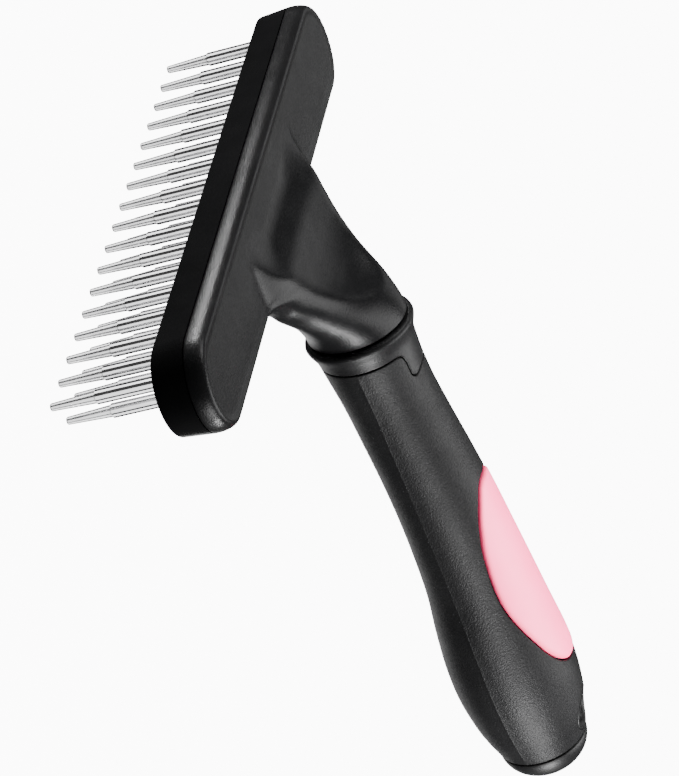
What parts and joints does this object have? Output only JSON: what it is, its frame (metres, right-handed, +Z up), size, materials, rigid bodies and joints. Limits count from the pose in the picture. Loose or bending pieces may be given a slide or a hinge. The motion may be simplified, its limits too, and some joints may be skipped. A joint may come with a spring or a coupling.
{
  "type": "undercoat rake",
  "caption": "Long-headed undercoat rake: staggered free-spinning pin teeth in two rows under a rounded bar head, on a curved round handle with a thumb inlay and a hanging hole.",
  "frame": {"origin": "middle of the object's box, on its lowest plane, which the tooth tips touch", "axes": "+X along the head, +Y from the handle's end towards the head, +Z up and away from the tooth tips, along the hanging hole"},
  "size_m": [0.1396, 0.158, 0.055],
  "materials": {
    "black_plastic": "satin, fine moulded grain",
    "grip_rubber": "soft-touch satin",
    "pink_rubber": "smooth soft-touch",
    "inner_plastic": "plain moulded",
    "tooth_steel": "polished stainless steel",
    "screw_steel": "plain zinc-plated"
  },
  "bodies": {
    "rake_body": {"head_cover": "black_plastic", "tooth_housing": "black_plastic", "retainer_plate": "inner_plastic", "cover_screws": "screw_steel", "collar_ring": "black_plastic", "grip_sleeve": "grip_rubber", "thumb_inlay": "pink_rubber", "handle_core_upper": "inner_plastic", "handle_core_lower": "inner_plastic", "core_screws": "screw_steel", "spigot_screw": "screw_steel", "end_cap": "black_plastic", "hang_sleeve": "black_plastic"},
    "spinning_tooth_front_01": {"tooth_front_01": "tooth_steel"},
    "spinning_tooth_front_02": {"tooth_front_02": "tooth_steel"},
    "spinning_tooth_front_03": {"tooth_front_03": "tooth_steel"},
    "spinning_tooth_front_04": {"tooth_front_04": "tooth_steel"},
    "spinning_tooth_front_05": {"tooth_front_05": "tooth_steel"},
    "spinning_tooth_front_06": {"tooth_front_06": "tooth_steel"},
    "spinning_tooth_front_07": {"tooth_front_07": "tooth_steel"},
    "spinning_tooth_front_08": {"tooth_front_08": "tooth_steel"},
    "spinning_tooth_front_09": {"tooth_front_09": "tooth_steel"},
    "spinning_tooth_front_10": {"tooth_front_10": "tooth_steel"},
    "spinning_tooth_front_11": {"tooth_front_11": "tooth_steel"},
    "spinning_tooth_front_12": {"tooth_front_12": "tooth_steel"},
    "spinning_tooth_front_13": {"tooth_front_13": "tooth_steel"},
    "spinning_tooth_front_14": {"tooth_front_14": "tooth_steel"},
    "spinning_tooth_front_15": {"tooth_front_15": "tooth_steel"},
    "spinning_tooth_front_16": {"tooth_front_16": "tooth_steel"},
    "spinning_tooth_front_17": {"tooth_front_17": "tooth_steel"},
    "spinning_tooth_rear_01": {"tooth_rear_01": "tooth_steel"},
    "spinning_tooth_rear_02": {"tooth_rear_02": "tooth_steel"},
    "spinning_tooth_rear_03": {"tooth_rear_03": "tooth_steel"},
    "spinning_tooth_rear_04": {"tooth_rear_04": "tooth_steel"},
    "spinning_tooth_rear_05": {"tooth_rear_05": "tooth_steel"},
    "spinning_tooth_rear_06": {"tooth_rear_06": "tooth_steel"},
    "spinning_tooth_rear_07": {"tooth_rear_07": "tooth_steel"},
    "spinning_tooth_rear_08": {"tooth_rear_08": "tooth_steel"},
    "spinning_tooth_rear_09": {"tooth_rear_09": "tooth_steel"},
    "spinning_tooth_rear_10": {"tooth_rear_10": "tooth_steel"},
    "spinning_tooth_rear_11": {"tooth_rear_11": "tooth_steel"},
    "spinning_tooth_rear_12": {"tooth_rear_12": "tooth_steel"},
    "spinning_tooth_rear_13": {"tooth_rear_13": "tooth_steel"},
    "spinning_tooth_rear_14": {"tooth_rear_14": "tooth_steel"},
    "spinning_tooth_rear_15": {"tooth_rear_15": "tooth_steel"},
    "spinning_tooth_rear_16": {"tooth_rear_16": "tooth_steel"}
  },
  "joints": [
    {"name": "tooth_front_01_spin", "type": "hinge", "parent": "rake_body", "child": "spinning_tooth_front_01", "pos_m": [-0.06192, 0.07195, 0.0227], "axis": [0, 0, 1], "continuous": true},
    {"name": "tooth_front_02_spin", "type": "hinge", "parent": "rake_body", "child": "spinning_tooth_front_02", "pos_m": [-0.05418, 0.07195, 0.0227], "axis": [0, 0, 1], "continuous": true},
    {"name": "tooth_front_03_spin", "type": "hinge", "parent": "rake_body", "child": "spinning_tooth_front_03", "pos_m": [-0.04644, 0.07195, 0.0227], "axis": [0, 0, 1], "continuous": true},
    {"name": "tooth_front_04_spin", "type": "hinge", "parent": "rake_body", "child": "spinning_tooth_front_04", "pos_m": [-0.0387, 0.07195, 0.0227], "axis": [0, 0, 1], "continuous": true},
    {"name": "tooth_front_05_spin", "type": "hinge", "parent": "rake_body", "child": "spinning_tooth_front_05", "pos_m": [-0.03096, 0.07195, 0.0227], "axis": [0, 0, 1], "continuous": true},
    {"name": "tooth_front_06_spin", "type": "hinge", "parent": "rake_body", "child": "spinning_tooth_front_06", "pos_m": [-0.02322, 0.07195, 0.0227], "axis": [0, 0, 1], "continuous": true},
    {"name": "tooth_front_07_spin", "type": "hinge", "parent": "rake_body", "child": "spinning_tooth_front_07", "pos_m": [-0.01548, 0.07195, 0.0227], "axis": [0, 0, 1], "continuous": true},
    {"name": "tooth_front_08_spin", "type": "hinge", "parent": "rake_body", "child": "spinning_tooth_front_08", "pos_m": [-0.00774, 0.07195, 0.0227], "axis": [0, 0, 1], "continuous": true},
    {"name": "tooth_front_09_spin", "type": "hinge", "parent": "rake_body", "child": "spinning_tooth_front_09", "pos_m": [0, 0.07195, 0.0227], "axis": [0, 0, 1], "continuous": true},
    {"name": "tooth_front_10_spin", "type": "hinge", "parent": "rake_body", "child": "spinning_tooth_front_10", "pos_m": [0.00774, 0.07195, 0.0227], "axis": [0, 0, 1], "continuous": true},
    {"name": "tooth_front_11_spin", "type": "hinge", "parent": "rake_body", "child": "spinning_tooth_front_11", "pos_m": [0.01548, 0.07195, 0.0227], "axis": [0, 0, 1], "continuous": true},
    {"name": "tooth_front_12_spin", "type": "hinge", "parent": "rake_body", "child": "spinning_tooth_front_12", "pos_m": [0.02322, 0.07195, 0.0227], "axis": [0, 0, 1], "continuous": true},
    {"name": "tooth_front_13_spin", "type": "hinge", "parent": "rake_body", "child": "spinning_tooth_front_13", "pos_m": [0.03096, 0.07195, 0.0227], "axis": [0, 0, 1], "continuous": true},
    {"name": "tooth_front_14_spin", "type": "hinge", "parent": "rake_body", "child": "spinning_tooth_front_14", "pos_m": [0.0387, 0.07195, 0.0227], "axis": [0, 0, 1], "continuous": true},
    {"name": "tooth_front_15_spin", "type": "hinge", "parent": "rake_body", "child": "spinning_tooth_front_15", "pos_m": [0.04644, 0.07195, 0.0227], "axis": [0, 0, 1], "continuous": true},
    {"name": "tooth_front_16_spin", "type": "hinge", "parent": "rake_body", "child": "spinning_tooth_front_16", "pos_m": [0.05418, 0.07195, 0.0227], "axis": [0, 0, 1], "continuous": true},
    {"name": "tooth_front_17_spin", "type": "hinge", "parent": "rake_body", "child": "spinning_tooth_front_17", "pos_m": [0.06192, 0.07195, 0.0227], "axis": [0, 0, 1], "continuous": true},
    {"name": "tooth_rear_01_spin", "type": "hinge", "parent": "rake_body", "child": "spinning_tooth_rear_01", "pos_m": [-0.05805, 0.06595, 0.0227], "axis": [0, 0, 1], "continuous": true},
    {"name": "tooth_rear_02_spin", "type": "hinge", "parent": "rake_body", "child": "spinning_tooth_rear_02", "pos_m": [-0.05031, 0.06595, 0.0227], "axis": [0, 0, 1], "continuous": true},
    {"name": "tooth_rear_03_spin", "type": "hinge", "parent": "rake_body", "child": "spinning_tooth_rear_03", "pos_m": [-0.04257, 0.06595, 0.0227], "axis": [0, 0, 1], "continuous": true},
    {"name": "tooth_rear_04_spin", "type": "hinge", "parent": "rake_body", "child": "spinning_tooth_rear_04", "pos_m": [-0.03483, 0.06595, 0.0227], "axis": [0, 0, 1], "continuous": true},
    {"name": "tooth_rear_05_spin", "type": "hinge", "parent": "rake_body", "child": "spinning_tooth_rear_05", "pos_m": [-0.02709, 0.06595, 0.0227], "axis": [0, 0, 1], "continuous": true},
    {"name": "tooth_rear_06_spin", "type": "hinge", "parent": "rake_body", "child": "spinning_tooth_rear_06", "pos_m": [-0.01935, 0.06595, 0.0227], "axis": [0, 0, 1], "continuous": true},
    {"name": "tooth_rear_07_spin", "type": "hinge", "parent": "rake_body", "child": "spinning_tooth_rear_07", "pos_m": [-0.01161, 0.06595, 0.0227], "axis": [0, 0, 1], "continuous": true},
    {"name": "tooth_rear_08_spin", "type": "hinge", "parent": "rake_body", "child": "spinning_tooth_rear_08", "pos_m": [-0.00387, 0.06595, 0.0227], "axis": [0, 0, 1], "continuous": true},
    {"name": "tooth_rear_09_spin", "type": "hinge", "parent": "rake_body", "child": "spinning_tooth_rear_09", "pos_m": [0.00387, 0.06595, 0.0227], "axis": [0, 0, 1], "continuous": true},
    {"name": "tooth_rear_10_spin", "type": "hinge", "parent": "rake_body", "child": "spinning_tooth_rear_10", "pos_m": [0.01161, 0.06595, 0.0227], "axis": [0, 0, 1], "continuous": true},
    {"name": "tooth_rear_11_spin", "type": "hinge", "parent": "rake_body", "child": "spinning_tooth_rear_11", "pos_m": [0.01935, 0.06595, 0.0227], "axis": [0, 0, 1], "continuous": true},
    {"name": "tooth_rear_12_spin", "type": "hinge", "parent": "rake_body", "child": "spinning_tooth_rear_12", "pos_m": [0.02709, 0.06595, 0.0227], "axis": [0, 0, 1], "continuous": true},
    {"name": "tooth_rear_13_spin", "type": "hinge", "parent": "rake_body", "child": "spinning_tooth_rear_13", "pos_m": [0.03483, 0.06595, 0.0227], "axis": [0, 0, 1], "continuous": true},
    {"name": "tooth_rear_14_spin", "type": "hinge", "parent": "rake_body", "child": "spinning_tooth_rear_14", "pos_m": [0.04257, 0.06595, 0.0227], "axis": [0, 0, 1], "continuous": true},
    {"name": "tooth_rear_15_spin", "type": "hinge", "parent": "rake_body", "child": "spinning_tooth_rear_15", "pos_m": [0.05031, 0.06595, 0.0227], "axis": [0, 0, 1], "continuous": true},
    {"name": "tooth_rear_16_spin", "type": "hinge", "parent": "rake_body", "child": "spinning_tooth_rear_16", "pos_m": [0.05805, 0.06595, 0.0227], "axis": [0, 0, 1], "continuous": true}
  ]
}
